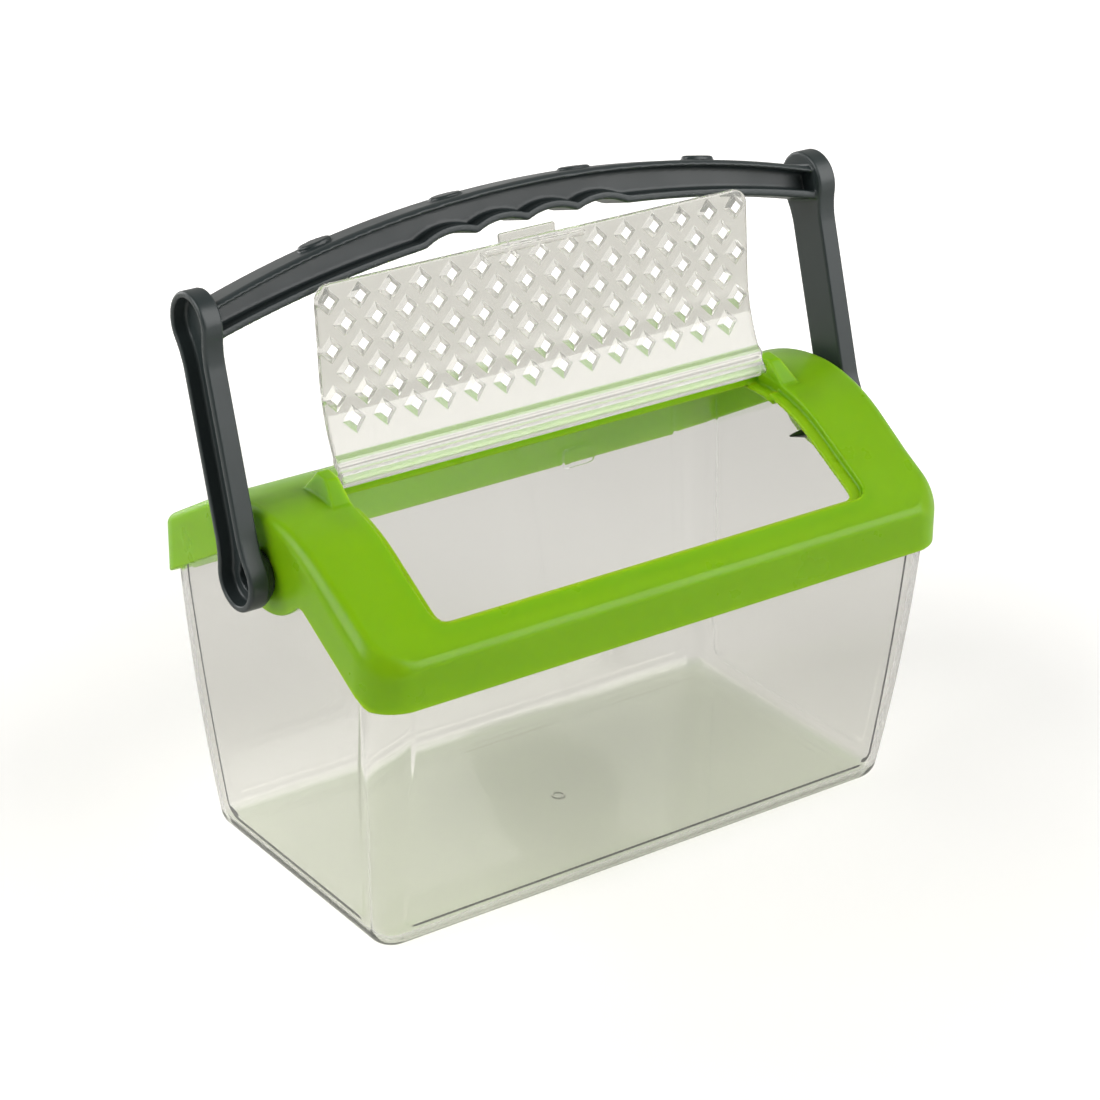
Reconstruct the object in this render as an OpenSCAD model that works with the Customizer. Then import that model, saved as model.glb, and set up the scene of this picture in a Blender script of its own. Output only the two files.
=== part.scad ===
// Clear tapered keeping box for small pets, with an arched snapping lid,
// a perforated vent flap hinged in the lid and a swing-over carry handle.
// Millimetres, +Z up. The origin is the centre of the tub's foot, +X runs
// along the long side and -Y faces the front, where the flap opens.
// The vent flap is drawn open on its stop, the handle leaning back.

/* [Lid] */
// length of the lid over its end walls
lid_length = 210; // [180:1:260]
// width of the lid over its front and back skirts
lid_width = 126; // [110:1:150]
// height of the lid's crown above the foot
crown_z = 127.8; // [122:0.1:160]
// height of the front skirt's lower edge above the foot
skirt_z = 86.4; // [75:0.1:92]
// how much deeper the back skirt reaches
back_drop = 4.2; // [0:0.1:8]
// radius of the arched crown
crown_r = 60; // [45:1:70]
// slope of the roof on both sides of the crown
roof_angle = 30; // [24:0.5:34]
// wall thickness of the lid
lid_wall = 2; // [1.6:0.1:2.4]
// corner radius of the lid seen from above
lid_corner_r = 12.7; // [8:0.1:18]
// rounding of the shoulder between roof and skirt
shoulder_r = 3; // [2.2:0.1:4]
// depth of the end bands, square to the roof
band_depth = 16.1; // [10:0.1:20]
// radius of the rounded tongue that carries the handle pivot
tongue_r = 24.6; // [20:0.1:30]
// how far the tongue reaches under the pivot
tongue_low = 12; // [11:0.1:14]

/* [Lid opening] */
// half length of the recess the flap closes into
recess_x = 79.1; // [60:0.1:84]
// front edge of the recess, measured from the middle of the lid
recess_front = 53.5; // [46:0.1:56]
// rear edge of the opening, behind the middle of the lid
opening_rear = 1.8; // [1.5:0.1:2.5]
// width of the ledge the flap lies on
ledge_w = 3.4; // [2.5:0.1:4.5]
// depth of the stiffening rim under the roof
rim_depth = 4.6; // [4:0.1:6]
// corner radius of the opening seen from above
opening_r = 5; // [3:0.1:8]

/* [Tub] */
// wall thickness of the tub
tub_wall = 2; // [1.6:0.1:2.6]
// thickness of the tub's floor
tub_floor = 2.4; // [1.8:0.1:4]
// how much each end wall leans in from rim to foot
taper_x = 6.9; // [3:0.1:9]
// how much the front and back walls lean in from rim to foot
taper_y = 11.6; // [6:0.1:14]
// outward bow of the walls, as a share of the taper
bow = 0.4; // [0:0.05:0.6]
// rounding of the foot's edge
foot_r = 7; // [4:0.1:7.4]
// corner radius of the tub at the foot
foot_corner_r = 7.6; // [7.4:0.1:10]
// corner radius of the tub at the rim
rim_corner_r = 11.1; // [9:0.1:16]
// free space between the tub's rim and the lid's skirt
rim_gap = 0.8; // [0.4:0.1:1.5]
// snap lugs inside the back wall: place along the wall, length and height
lug_x = 50.8; // [30:0.1:80]
lug_l = 12.4; // [6:0.1:20]
lug_h = 9; // [4:0.1:12]
// depth of the sunk fields inside the walls
field_depth = 0.35; // [0.2:0.05:0.6]
// corner radius of those fields
field_r = 4.5; // [2:0.1:8]

/* [Vent flap] */
// thickness of the flap
flap_t = 2; // [1.5:0.1:2.2]
// free space in front of the closed flap
flap_gap = 0.4; // [0.2:0.1:0.8]
// free space beside the closed flap
flap_side = 1; // [0.4:0.1:1.4]
// how far the open flap has swung from closed
flap_open = 125; // [100:1:128]
// pitch of the vent holes along a row
hole_pitch = 10.54; // [9.5:0.1:11]
// pitch of the rows
row_pitch = 7.2; // [6.6:0.1:7.6]
// rows of vent holes
hole_rows = 6; // [2:1:6]
// holes in the longer rows
hole_count = 15; // [5:1:15]
// width of a vent hole across its points
hole_w = 5.4; // [3:0.1:6.4]
// height of a vent hole across its points
hole_h = 6.4; // [3:0.1:7]
// first row, measured from the free edge
first_row = 5.5; // [5:0.1:7]
// width of the finger tab
tab_w = 21.1; // [14:0.1:30]
// middle of the finger tab, left of the flap's middle
tab_left = 2.9; // [0:0.1:6]
// how far the finger tab laps over the flap's edge
tab_lap = 1.3; // [0.8:0.1:3]

/* [Flap hinge] */
// hinge axis behind the middle of the lid
hinge_y = -0.2; // [-0.4:0.1:0]
// hinge axis above the crown
hinge_rise = 1.6; // [1.5:0.1:2]
// radius of the hinge pins
hinge_pin_r = 1.5; // [1.2:0.1:1.6]
// radial clearance of pins and pivots in their bores
run_gap = 0.08; // [0.05:0.01:0.1]
// thickness of a hinge ear along the axis
ear_w = 6.9; // [5:0.1:9]
// material of an ear above its bore
ear_top = 2.4; // [1.5:0.1:3]

/* [Handle] */
// height of the handle pivot above the foot
pivot_z = 108.9; // [107:0.1:111]
// handle pivot in front of the middle
pivot_front = 2.2; // [0:0.1:4]
// backward lean of the handle as drawn
lean = 16.9; // [16.5:0.1:30]
// thickness of an arm along the pivot axis
arm_w = 6.5; // [5:0.1:9]
// free space between an arm and the lid's end wall
arm_gap = 3; // [1.5:0.1:4]
// pivot to the centre of the arm's rounded top
arm_reach = 74; // [70:0.5:88]
// radius of the arm's lower end
arm_low_r = 9.65; // [9:0.05:12]
// radius of the arm's upper end
arm_top_r = 9.9; // [8.5:0.1:11]
// half width of the arm at its waist
waist = 7.15; // [5.5:0.05:8]
// radius of the hollows between the waist and the arm's ends
arm_hollow_r = 25; // [15:1:60]
// thickness of the rim round an arm's pocket
rim_t = 2; // [1.5:0.1:2.6]
// height of the grip's top above the pivot, along the lean
grip_top = 94.4; // [90:0.1:112]
// radius of the grip's bow along its top
grip_bow_r = 387; // [300:1:900]
// radius of the grip's flatter bow along its underside
under_bow_r = 440; // [340:1:1200]
// depth of the grip in its middle
grip_h = 12.2; // [10.5:0.1:14]
// width of the grip
grip_w = 14.4; // [11:0.1:16]
// thickness of the grip's flanges and web
flange_t = 2.4; // [1.8:0.1:3]
// length of one finger hollow
finger_w = 17.5; // [14:0.1:20]
// depth of the finger hollows
finger_d = 2; // [1:0.1:3]
// radius of the snap pivots
pivot_r = 6.5; // [5:0.1:7]
// height of the slot that splits a snap pivot
pivot_slot = 8; // [5:0.1:8]
// reach of a snap pivot behind the lid's end wall
snap_reach = 9.2; // [6:0.1:11]

/* [Hidden] */
$fn = 96;
hull_fn = 32;
// height and least radius of the discs the tub is hulled from
disc_h = 0.1;
least_r = 0.6;
eps = 0.01;
far = 400;
// crown circle centre and the slope's apex over the middle
crown_cz = crown_z - crown_r;
roof_cos = cos(roof_angle);
roof_tan = tan(roof_angle);
roof_sin = sin(roof_angle);
lid_x = lid_length / 2;
lid_y = lid_width / 2;
// a small gap that keeps two curved faces apart
skin = 0.3;
// rounding of inner shoulders, and a level well under the lid
soft_r = 0.6;
deep_z = skirt_z - 20;
// ledges the closed flap lies on, measured square to the roof
ledge_inset = flap_t + skin;
hinge_pocket = flap_t + 1.6;
rear_rim = hinge_pocket + 0.6;
pocket_y = -8.6;
// tub sizes follow the lid
rim_x = lid_x - lid_wall - rim_gap;
rim_y = lid_y - lid_wall - rim_gap;
foot_x = rim_x - taper_x;
foot_y = rim_y - taper_y;
// hinge axis
hinge_z = crown_z + hinge_rise;
flap_x = recess_x - flap_side;
flap_front = recess_front - flap_gap;
// holes in a long row, as many as the plate has room for
row_count = min(hole_count, floor((2 * flap_x - hole_w - 2) / hole_pitch) + 1);
flap_rear = opening_rear - 0.5;
roll_r = 2;
bar_front = 7.4;
bar_t = 1;
// pins reach this far beyond the plate, and their bores a little farther
pin_l = 4.5;
bore_l = pin_l + 0.4;
// heels that carry the open flap on the crown
heel_x = 60;
heel_w = 6;
heel_l = 4;
heel_back = hinge_y + 0.5;
heel_gap = 0.05;
lug_t = 1;
back_z = skirt_z - back_drop;
// pivots and arms
pivot_y = -pivot_front;
arm_in = lid_x + arm_gap;
arm_out = arm_in + arm_w;
snap_r = pivot_r + 1.5;
notch_r = snap_r + 1;
// pitch of the oval studs on the grip
stud_pitch = 46.5;
stud_l = 11;
stud_w = 7;
stud_h = 0.9;

tub_color = [0.86, 0.87, 0.84, 0.35];
lid_color = [0.46, 0.67, 0.09];
flap_color = [0.88, 0.89, 0.86, 0.45];
handle_color = [0.25, 0.28, 0.29];

// height of the roof's sloping part, `inset` under the outer face
function slope_z(y, inset = 0) =
    crown_cz + (crown_r - inset) / roof_cos - roof_tan * abs(y);
// height of the crown's arc, `inset` under the outer face
function crown_at(y, inset = 0) =
    crown_cz + sqrt(pow(crown_r - inset, 2) - y * y);
// outer face of the roof anywhere
function roof_z(y, inset = 0) =
    abs(y) < (crown_r - inset) * roof_sin
        ? crown_at(y, inset)
        : slope_z(y, inset);
// wall line from foot (t = 0) to rim (t = 1)
function bowed(t) = t + bow * t * (1 - t);

// ---- shared outlines ----

// side view of the arched roof with a straight skirt under it
module arch2d(inset, half, edge, low) {
    r = crown_r - inset;
    ty = r * roof_sin;
    tz = crown_cz + r * roof_cos;
    cy = half - edge;
    cz = slope_z(cy, inset) - edge / roof_cos;
    ey = cy + edge * roof_sin;
    ez = cz + edge * roof_cos;
    polygon([
        [-half, low], [-half, cz], [-ey, ez], [-ty, tz],
        [ty, tz], [ey, ez], [half, cz], [half, low]
    ]);
    for (side = [-1, 1])
        translate([side * cy, cz])
            circle(r = edge);
    intersection() {
        translate([0, crown_cz])
            circle(r = r);
        translate([-ty, tz - eps])
            square([2 * ty, r]);
    }
}

// rounded rectangle seen from above
module plan2d(hx, hy, r) {
    square([2 * hx - 2 * r, 2 * hy], center = true);
    square([2 * hx, 2 * hy - 2 * r], center = true);
    for (sx = [-1, 1], sy = [-1, 1])
        translate([sx * (hx - r), sy * (hy - r)])
            circle(r = r);
}

// a side view (Y, Z) drawn out along X from x0 to x1
module along_x(x0, x1) {
    translate([x0, 0, 0])
        rotate([90, 0, 90])
            linear_extrude(height = x1 - x0)
                children();
}

// ---- tub ----

// four corner discs at one height, children of the tub's hull
module corner_discs(hx, hy, r, z, h = disc_h) {
    for (sx = [-1, 1], sy = [-1, 1])
        translate([sx * (hx - r), sy * (hy - r), z])
            cylinder(r = r, h = h, $fn = hull_fn);
}

// the tub's tapered, bowed and rounded mass, `inset` inside its outer face
module tub_mass(inset, grow_x, grow_y, low, round_r) {
    hull() {
        for (a = [0, 30, 60, 90]) {
            t = (low + round_r * (1 - cos(a))) / skirt_z;
            cut = inset + round_r * (1 - sin(a));
            corner_discs(
                foot_x + taper_x * bowed(t) - cut + grow_x,
                foot_y + taper_y * bowed(t) - cut + grow_y,
                max(foot_corner_r - cut, least_r),
                low + round_r * (1 - cos(a))
            );
        }
        for (t = [0.25, 0.5, 0.75])
            corner_discs(
                foot_x + taper_x * bowed(t) - inset + grow_x,
                foot_y + taper_y * bowed(t) - inset + grow_y,
                foot_corner_r + (rim_corner_r - foot_corner_r) * t - inset,
                skirt_z * t
            );
        corner_discs(
            rim_x - inset + grow_x,
            rim_y - inset + grow_y,
            rim_corner_r - inset,
            skirt_z,
            crown_z - skirt_z
        );
    }
}

// the rim follows the lid's ceiling and lies against both of its slopes
module tub_roof() {
    ty = (crown_r - lid_wall) * roof_sin;
    along_x(-far / 2, far / 2)
        polygon([
            [-far / 4, -eps], [-far / 4, slope_z(far / 4, lid_wall)],
            [-ty, slope_z(ty, lid_wall)], [ty, slope_z(ty, lid_wall)],
            [far / 4, slope_z(far / 4, lid_wall)], [far / 4, -eps]
        ]);
}

// field of a wall with rounded lower corners, `half` wide at its foot and
// wider by `grow` for each millimetre of height
module field2d(half, low, grow) {
    top = half + grow * (crown_z - low);
    polygon([
        [-half + field_r, low], [half - field_r, low],
        [half, low + field_r], [top, crown_z],
        [-top, crown_z], [-half, low + field_r]
    ]);
    for (side = [-1, 1])
        translate([side * (half - field_r), low + field_r])
            circle(r = field_r);
}

module tub() {
    // the fields keep off the corners, and widen less than the walls do
    low = foot_r + 0.6;
    margin_x = 6.8;
    margin_y = 9.8;
    grow_x = 0.35 * taper_x / skirt_z;
    grow_y = 0.85 * taper_y / skirt_z;
    color(tub_color)
    difference() {
        intersection() {
            tub_mass(0, 0, 0, 0, foot_r);
            tub_roof();
        }
        tub_mass(tub_wall, 0, 0, tub_floor, foot_r - 1);
        // sunk fields of the front and back walls
        intersection() {
            tub_mass(tub_wall, 0, field_depth, tub_floor, foot_r - 1);
            rotate([90, 0, 0])
                linear_extrude(height = far, center = true)
                    field2d(foot_x - margin_x, low, grow_x);
        }
        // sunk fields of the end walls
        intersection() {
            tub_mass(tub_wall, field_depth, 0, tub_floor, foot_r - 1);
            along_x(-far / 2, far / 2)
                field2d(foot_y - margin_y, low, grow_y);
        }
        // open notches in the end walls, clear of the snap pivots
        for (side = [-1, 1])
            translate([side * rim_x, pivot_y, pivot_z]) {
                rotate([0, 90, 0])
                    cylinder(r = notch_r, h = 6 * tub_wall, center = true);
                translate([-3 * tub_wall, -notch_r, 0])
                    cube([6 * tub_wall, 2 * notch_r, crown_z - pivot_z + 1]);
            }
    }
    // snap lugs inside the back wall, along the lid's edge
    color(tub_color)
    intersection() {
        tub_roof();
        for (side = [-1, 1])
            translate([
                side * lug_x - lug_l / 2,
                rim_y - tub_wall - lug_t,
                skirt_z - lug_h / 2
            ])
                cube([lug_l, lug_t + tub_wall / 2, lug_h]);
    }
}

// ---- lid ----

// hollow arched shell without its opening
module lid_shell() {
    difference() {
        intersection() {
            along_x(-lid_x, lid_x)
                arch2d(0, lid_y, shoulder_r, back_z);
            linear_extrude(height = far)
                plan2d(lid_x, lid_y, lid_corner_r);
        }
        // the front skirt ends higher than the back one
        translate([-lid_x - 1, -lid_y - 1, 0])
            cube([lid_length + 2, lid_y + 1, skirt_z]);
        intersection() {
            along_x(-lid_x + lid_wall, lid_x - lid_wall)
                arch2d(lid_wall, lid_y - lid_wall, soft_r, deep_z);
            linear_extrude(height = far)
                plan2d(lid_x - lid_wall, lid_y - lid_wall,
                    lid_corner_r - lid_wall);
        }
        // the end bands follow the roof
        for (side = [0, 1])
            mirror([side, 0, 0])
                along_x(lid_x - lid_corner_r, lid_x + 1)
                    arch2d(band_depth, lid_y - 1, soft_r, deep_z);
    }
}

// stiffening rim round the opening, under the roof
module opening_rim() {
    ring_x = recess_x + lid_wall;
    ring_front = recess_front + lid_wall;
    ring_rear = opening_rear + 2.5;
    along_x(-ring_x, ring_x)
        difference() {
            intersection() {
                arch2d(lid_wall / 2, lid_y - lid_wall, soft_r, skirt_z);
                translate([-ring_front, skirt_z])
                    square([ring_front + ring_rear, far]);
            }
            intersection() {
                arch2d(rim_depth, lid_y - 1, soft_r, deep_z);
                translate([-far / 2, 0])
                    square([far / 2 + pocket_y - 2, far]);
            }
            intersection() {
                arch2d(rear_rim, lid_y - 1, soft_r, deep_z);
                translate([opening_rear, 0])
                    square([far / 2, far]);
            }
            arch2d(rear_rim + 1.3, lid_y - 1, soft_r, deep_z);
        }
}

// the space the closed flap lies in, deeper near the hinge
module recess() {
    intersection() {
        along_x(-recess_x, recess_x)
            difference() {
                translate([-recess_front, skirt_z])
                    square([recess_front + opening_rear, far]);
                arch2d(hinge_pocket, lid_y - 1, soft_r, deep_z);
                intersection() {
                    arch2d(ledge_inset, lid_y - 1, soft_r, deep_z);
                    translate([-far / 2, 0])
                        square([far / 2 + pocket_y, far]);
                }
            }
        plan_box(recess_x, recess_front, opening_r);
    }
}

// upright block over the opening, its two front corners rounded
module plan_box(hx, front, r) {
    linear_extrude(height = far)
        intersection() {
            translate([0, -front + lid_y])
                plan2d(hx, lid_y, r);
            translate([-hx, -front])
                square([2 * hx, front + opening_rear]);
        }
}

// hinge ear, outer side and front sloping, right-hand side
module hinge_ear() {
    top = hinge_z + hinge_pin_r + ear_top;
    intersection() {
        along_x(recess_x, recess_x + ear_w)
            polygon([
                [-12, roof_z(12, 1)], [-3.2, top - 0.4], [1.2, top + 0.2],
                [3.4, top - 1], [7.5, roof_z(7.5, 1)]
            ]);
        rotate([90, 0, 0])
            linear_extrude(height = far, center = true)
                polygon([
                    [recess_x, 0], [recess_x + ear_w, 0],
                    [recess_x + ear_w, crown_z - 1],
                    [recess_x + ear_w - 2.6, top + 1],
                    [recess_x, top + 1]
                ]);
    }
}

// rounded tongue of the end band, under and round the pivot
module tongue() {
    intersection() {
        translate([lid_x - lid_wall, pivot_y, pivot_z - tongue_low + tongue_r])
            rotate([0, 90, 0])
                cylinder(r = tongue_r, h = lid_wall);
        along_x(lid_x - lid_wall - 1, lid_x + 1)
            arch2d(shoulder_r, lid_y - 1, soft_r, deep_z);
    }
}

module lid_frame() {
    color(lid_color)
    difference() {
        union() {
            lid_shell();
            opening_rim();
            for (side = [0, 1])
                mirror([side, 0, 0]) {
                    hinge_ear();
                    tongue();
                }
        }
        recess();
        // through opening inside the ledge
        intersection() {
            plan_box(recess_x - ledge_w, recess_front - ledge_w, opening_r - 2);
            translate([-far / 2, -far / 2, skirt_z])
                cube(far);
        }
        // blind hinge bores
        for (side = [0, 1])
            mirror([side, 0, 0])
                translate([flap_x, hinge_y, hinge_z])
                    rotate([0, 90, 0])
                        cylinder(r = hinge_pin_r + run_gap, h = bore_l);
        // pivot bores
        for (side = [-1, 1])
            translate([side * (lid_x - lid_wall / 2), pivot_y, pivot_z])
                rotate([0, 90, 0])
                    cylinder(r = pivot_r + run_gap, h = 3 * lid_wall,
                        center = true);
    }
}

// ---- vent flap ----

// vent hole through the closed flap, `s` from its free edge, at `x`
module vent_hole(x, s) {
    flat_s = (flap_front - (crown_r - flap_t / 2) * roof_sin) / roof_cos;
    turn = max(0, s - flat_s) / (crown_r - flap_t / 2) * 180 / PI;
    tilt = roof_angle - turn;
    mid = crown_r - flap_t / 2;
    run = max(0, flat_s - s);
    hy = -mid * sin(tilt) - run * roof_cos;
    hz = crown_cz + mid * cos(tilt) - run * roof_sin;
    translate([x, hy, hz])
        rotate([tilt, 0, 0])
            linear_extrude(height = 3 * flap_t, center = true)
                polygon([
                    [-hole_w / 2, 0], [0, -hole_h / 2],
                    [hole_w / 2, 0], [0, hole_h / 2]
                ]);
}

module flap_plate() {
    intersection() {
        along_x(-flap_x, flap_x) {
            intersection() {
                difference() {
                    arch2d(0, lid_y, shoulder_r, skirt_z);
                    arch2d(flap_t, lid_y - 1, soft_r, deep_z);
                }
                translate([-flap_front, skirt_z])
                    square([flap_front + flap_rear, far]);
            }
            // thicker bar beside the hinge
            intersection() {
                arch2d(eps, lid_y, shoulder_r, skirt_z);
                translate([-bar_front, crown_z - flap_t - bar_t])
                    square([bar_front + flap_rear, far]);
            }
        }
        plan_box(flap_x, flap_front, opening_r - flap_gap);
    }
}

// finger tab that laps over the lid's front edge
module finger_tab() {
    edge_z = slope_z(flap_front);
    translate([0, -flap_front, edge_z])
        rotate([roof_angle, 0, 0])
            along_x(-tab_w / 2 - tab_left, tab_w / 2 - tab_left)
                polygon([
                    [-tab_lap, skin + 0.1], [-tab_lap, 1.4], [3, 1.4],
                    [3, -0.5], [0.3, -0.5], [0.3, skin + 0.1]
                ]);
}

module closed_flap() {
    difference() {
        flap_plate();
        for (row = [0 : hole_rows - 1]) {
            count = row_count - row % 2;
            for (i = [0 : count - 1])
                vent_hole(
                    (i - (count - 1) / 2) * hole_pitch,
                    first_row + row * row_pitch
                );
        }
    }
    finger_tab();
    // hinge roll on its root, and the two pins
    along_x(-flap_x, flap_x) {
        translate([hinge_y, hinge_z])
            circle(r = roll_r);
        translate([hinge_y - roll_r + 0.2, crown_z - 1])
            square([flap_rear - hinge_y + roll_r - 0.2, hinge_rise + 1]);
    }
    for (side = [0, 1])
        mirror([side, 0, 0])
            translate([flap_x - 1, hinge_y, hinge_z])
                rotate([0, 90, 0])
                    cylinder(r = hinge_pin_r, h = pin_l + 1);
}

module vent_flap() {
    color(flap_color) {
        translate([0, hinge_y, hinge_z])
            rotate([-flap_open, 0, 0])
                translate([0, -hinge_y, -hinge_z])
                    closed_flap();
        // stop heels that rest on the crown when the flap is open
        for (side = [-1, 1])
            translate([side * heel_x - heel_w / 2, heel_back, crown_z + heel_gap])
                cube([heel_w, heel_l, hinge_rise]);
    }
}

// ---- handle, drawn upright about its pivot axis ----

// concave fillets from a round end, `ring` in radius, to a waist
module arm_fillets(ring, half, soft) {
    cx = half + soft;
    rise = sqrt(pow(ring + soft, 2) - cx * cx);
    for (side = [0, 1])
        mirror([side, 0])
            difference() {
                polygon([[0, 0], [cx, rise], [0, rise]]);
                translate([cx, rise])
                    circle(r = soft, $fn = 240);
            }
}

// arm outline in (Y, Z), `inset` inside the outer edge
module arm2d(inset) {
    low = arm_low_r - inset;
    top = arm_top_r - inset;
    half = waist - inset;
    soft = arm_hollow_r + inset;
    circle(r = low);
    arm_fillets(low, half, soft);
    translate([-half, 0])
        square([2 * half, arm_reach]);
    translate([0, arm_reach]) {
        circle(r = top);
        mirror([0, 1])
            arm_fillets(top, half, soft);
    }
}

module handle_arm() {
    difference() {
        along_x(arm_in, arm_out)
            arm2d(0);
        along_x(arm_in + rim_t, arm_out + 1)
            arm2d(rim_t);
    }
    // hub, neck and barbed snap head with its split
    difference() {
        rotate([0, 90, 0]) {
            translate([0, 0, lid_x + arm_gap / 2 + skin])
                cylinder(r = arm_low_r - 0.8, h = arm_gap / 2);
            translate([0, 0, lid_x + skin])
                cylinder(r = pivot_r + 1.2, h = arm_gap);
            translate([0, 0, lid_x - lid_wall - skin - eps])
                cylinder(r = pivot_r, h = lid_wall + arm_gap);
            translate([0, 0, lid_x - lid_wall - skin - snap_reach])
                cylinder(r1 = pivot_slot / 2 + 0.3, r2 = snap_r,
                    h = snap_reach);
        }
        translate([lid_x - lid_wall - snap_reach - 1, -far / 2, -pivot_slot / 2])
            cube([snap_reach + lid_wall, far, pivot_slot]);
    }
}

// band between the two bows, `inset` inside both
module bow2d(inset, half) {
    intersection() {
        difference() {
            translate([0, grip_top - grip_bow_r])
                circle(r = grip_bow_r - inset, $fn = 360);
            translate([0, grip_top - grip_h - under_bow_r])
                circle(r = under_bow_r + inset, $fn = 360);
        }
        translate([-half, 0])
            square([2 * half, 2 * grip_top]);
    }
}

// discs that hollow the underside for four fingers
module fingers2d(extra) {
    r = (pow(finger_w / 2, 2) + pow(finger_d, 2)) / (2 * finger_d);
    for (i = [-1.5, -0.5, 0.5, 1.5]) {
        x = i * finger_w;
        z = grip_top - grip_h - x * x / (2 * under_bow_r);
        translate([x, z + finger_d - r])
            circle(r = r + extra);
    }
}

module grip() {
    rotate([90, 0, 0])
        linear_extrude(height = grip_w, center = true)
            difference() {
                bow2d(0, arm_in + 0.5);
                fingers2d(0);
            }
}

// pocket between the flanges, open to one face
module grip_pocket() {
    rotate([90, 0, 0])
        translate([0, 0, flange_t / 2])
            linear_extrude(height = grip_w)
                difference() {
                    bow2d(flange_t, arm_in - 0.01);
                    fingers2d(flange_t);
                }
}

// low oval stud on the grip's top
module stud(x) {
    lean_x = asin(x / grip_bow_r);
    translate([0, 0, grip_top - grip_bow_r])
        rotate([0, lean_x, 0])
            translate([0, 0, grip_bow_r - 1])
                linear_extrude(height = stud_h + 1) {
                    square([stud_l - stud_w, stud_w], center = true);
                    for (side = [-1, 1])
                        translate([side * (stud_l - stud_w) / 2, 0])
                            circle(d = stud_w);
                }
}

module carry_handle() {
    color(handle_color)
    translate([0, pivot_y, pivot_z])
        rotate([-lean, 0, 0]) {
            for (side = [0, 1])
                mirror([side, 0, 0])
                    handle_arm();
            difference() {
                grip();
                grip_pocket();
                mirror([0, 1, 0])
                    grip_pocket();
            }
            for (i = [-1.5, -0.5, 0.5, 1.5])
                stud(i * stud_pitch);
        }
}

tub();
lid_frame();
vent_flap();
carry_handle();
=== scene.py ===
"""Looks of a clear plastic pet keeper with a green lid, a vent flap and a grey handle."""
import math

import bpy
import numpy as np
from mathutils import Matrix, Vector


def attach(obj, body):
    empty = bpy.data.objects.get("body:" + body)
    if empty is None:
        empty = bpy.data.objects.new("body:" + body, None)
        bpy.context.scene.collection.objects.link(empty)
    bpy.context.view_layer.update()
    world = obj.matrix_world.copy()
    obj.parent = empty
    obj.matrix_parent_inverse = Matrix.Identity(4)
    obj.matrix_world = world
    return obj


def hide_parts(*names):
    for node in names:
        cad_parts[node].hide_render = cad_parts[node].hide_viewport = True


MM = 0.001

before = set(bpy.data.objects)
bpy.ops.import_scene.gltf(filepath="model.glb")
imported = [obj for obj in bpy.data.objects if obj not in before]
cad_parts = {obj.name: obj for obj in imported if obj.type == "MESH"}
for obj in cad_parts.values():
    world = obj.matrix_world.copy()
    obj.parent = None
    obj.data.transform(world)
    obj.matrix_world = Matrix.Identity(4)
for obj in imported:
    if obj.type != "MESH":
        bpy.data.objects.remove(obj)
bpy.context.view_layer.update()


# ---------------------------------------------------------------- materials

# noise scales, in cycles per metre
COLOUR_DRIFT, GLOSS_DRIFT, SKIN_GRAIN = 14.0, 60.0, 2600.0
CLEAR_DRIFT, CLEAR_HAZE, CLEAR_WAVE, PAPER_TOOTH = 9.0, 35.0, 14.0, 6.0
# the part of a noise's range that its ramp covers
RAMP_START, RAMP_END = 0.3, 0.7
# bumps: height in millimetres, and strength
SKIN_BUMP, WAVE_BUMP = (0.02, 0.16), (0.03, 0.1)
PLASTIC_IOR, CLEAR_IOR = 1.49, 1.5
# how far light spreads inside the plastic, for red, green and blue
GLOW_SPREAD, GLOW_MM = (0.8, 1.0, 0.15), 14.0
CLEAR_ROUGH_LOW, CLEAR_ROUGH_HIGH = 0.01, 0.045
DARKEST_DRIFT = 0.975
# heights between which the floor's deeper tint, with its painted green cast that stands in for
# light through the green lid, gives way to the walls'
CAST_LOW_MM, CAST_HIGH_MM = 2.0, 5.0
# what a shadow ray keeps at each clear surface
SHADOW_TINT = (0.92, 0.92, 0.90, 1.0)
PAPER_DARK, PAPER_LIGHT = (0.64, 0.63, 0.605, 1.0), (0.655, 0.645, 0.62, 1.0)
PAPER_ROUGH, PAPER_GLOSS = 0.9, 0.1
# glow of the paper: from and to which distance, in metres, and how strong there
ROOM_GLOW, SEEN_GLOW = (0.5, 1.5, 0.0, 0.6), (0.12, 0.5, 0.33, 0.75)


def new_material(name):
    """A node material with its shader, and a short way to add nodes and links."""
    material = bpy.data.materials.new(name)
    material.use_nodes = True
    tree = material.node_tree
    return material, tree.nodes, tree.links, tree.nodes["Principled BSDF"]


def noise(nodes, links, scale, detail):
    """Noise in object space, in cycles per metre."""
    place = nodes.new("ShaderNodeTexCoord")
    texture = nodes.new("ShaderNodeTexNoise")
    texture.inputs["Scale"].default_value = scale
    texture.inputs["Detail"].default_value = detail
    links.new(place.outputs["Object"], texture.inputs["Vector"])
    return texture.outputs["Fac"]


def ramp(nodes, links, source, low, high):
    """A colour or grey ramp over a noise value."""
    node = nodes.new("ShaderNodeValToRGB")
    node.color_ramp.elements[0].position = RAMP_START
    node.color_ramp.elements[1].position = RAMP_END
    node.color_ramp.elements[0].color = low
    node.color_ramp.elements[1].color = high
    links.new(source, node.inputs["Fac"])
    return node.outputs["Color"]


def grey(value):
    """A grey of one value, as a colour."""
    return (value, value, value, 1.0)


def bump(nodes, links, shader, source, height_mm, strength):
    """A fine relief in the shading of a surface."""
    node = nodes.new("ShaderNodeBump")
    node.inputs["Distance"].default_value = height_mm * MM
    node.inputs["Strength"].default_value = strength
    links.new(source, node.inputs["Height"])
    links.new(node.outputs["Normal"], shader.inputs["Normal"])


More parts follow.
